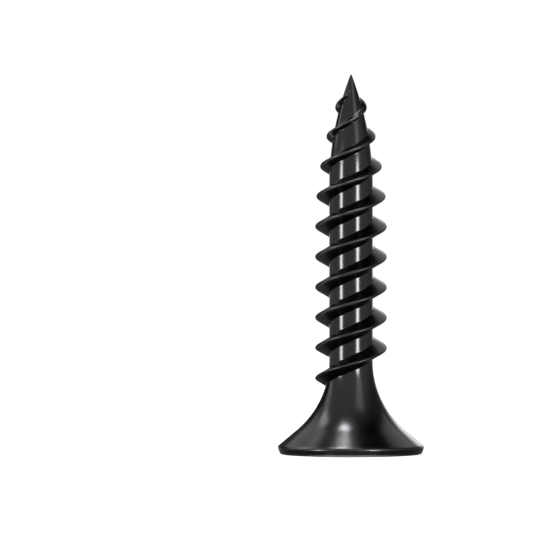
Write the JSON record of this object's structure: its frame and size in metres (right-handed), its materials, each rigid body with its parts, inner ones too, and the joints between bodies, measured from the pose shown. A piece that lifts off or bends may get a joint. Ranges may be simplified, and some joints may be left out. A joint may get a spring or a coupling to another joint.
{
  "type": "wood screw",
  "caption": "Black wood screw standing on its head: bugle head with a cross recess, right-hand twin-start thread, sharp ogive point.",
  "frame": {"origin": "middle of the head's flat face, which the screw stands on", "axes": "+Z along the screw's axis from the head to the point, +X along one wing of the cross recess"},
  "size_m": [0.008, 0.008, 0.0206],
  "materials": {
    "black_steel": "black oxide over smooth cold-formed steel, satin, with brighter rubbed crests and rim"
  },
  "bodies": {
    "root": {"wood_screw": "black_steel"}
  },
  "joints": []
}
